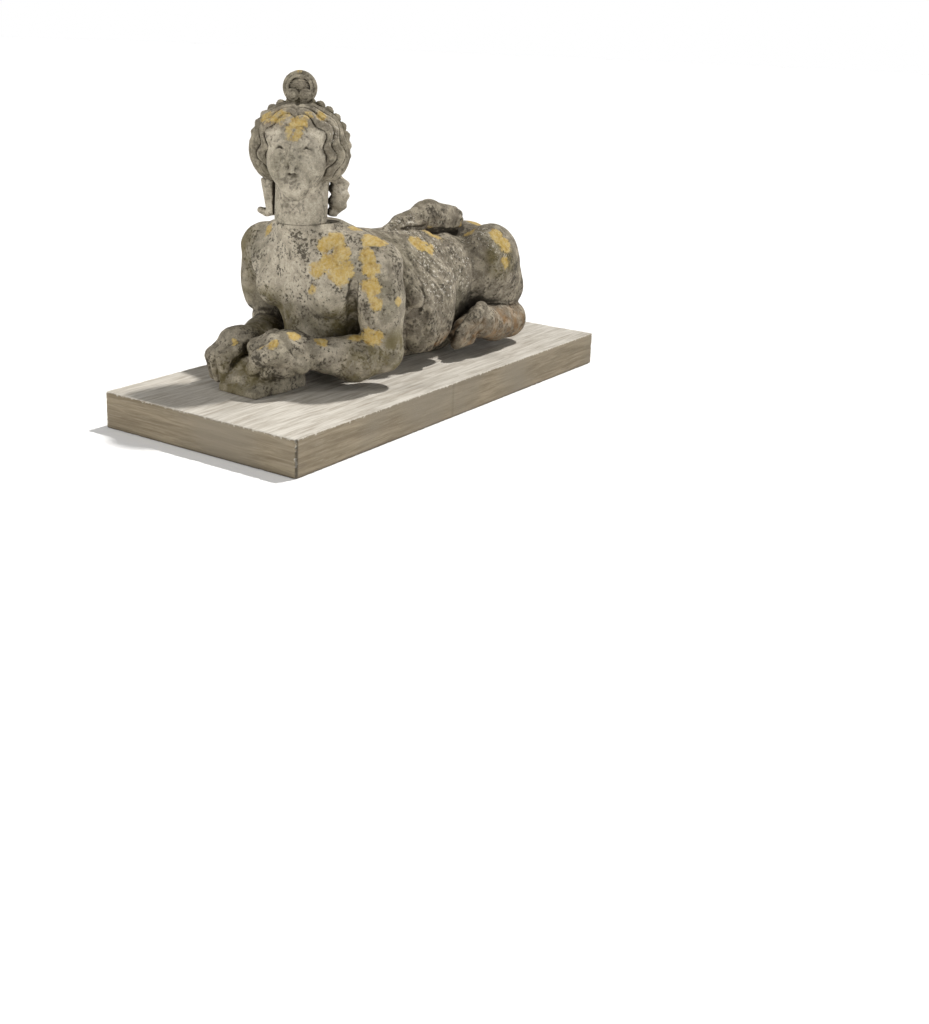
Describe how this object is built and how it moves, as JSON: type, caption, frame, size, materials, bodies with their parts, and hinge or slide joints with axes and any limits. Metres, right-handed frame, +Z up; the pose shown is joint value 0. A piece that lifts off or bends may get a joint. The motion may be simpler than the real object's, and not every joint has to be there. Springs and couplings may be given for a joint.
{
  "type": "sphinx statue",
  "caption": "Reclining stone sphinx with a woman's head and chest, lion hindquarters and saddle cloth, hands on a wedge of stone, laid on a rectangular plinth.",
  "frame": {"origin": "centre of the plinth's underside", "axes": "+Z up, the sphinx faces -Y and +X is its own left side"},
  "size_m": [0.566, 1.3, 0.8117],
  "materials": {
    "plinth_stone": "sawn stone, streaked grey-brown sides and paler brushed top",
    "body_stone": "rough weathered limestone with dark grime and ochre lichen",
    "head_stone": "smoother pale limestone with ochre lichen in the hair"
  },
  "bodies": {
    "root": {"plinth": "plinth_stone", "body": "body_stone", "head": "head_stone"}
  },
  "joints": []
}
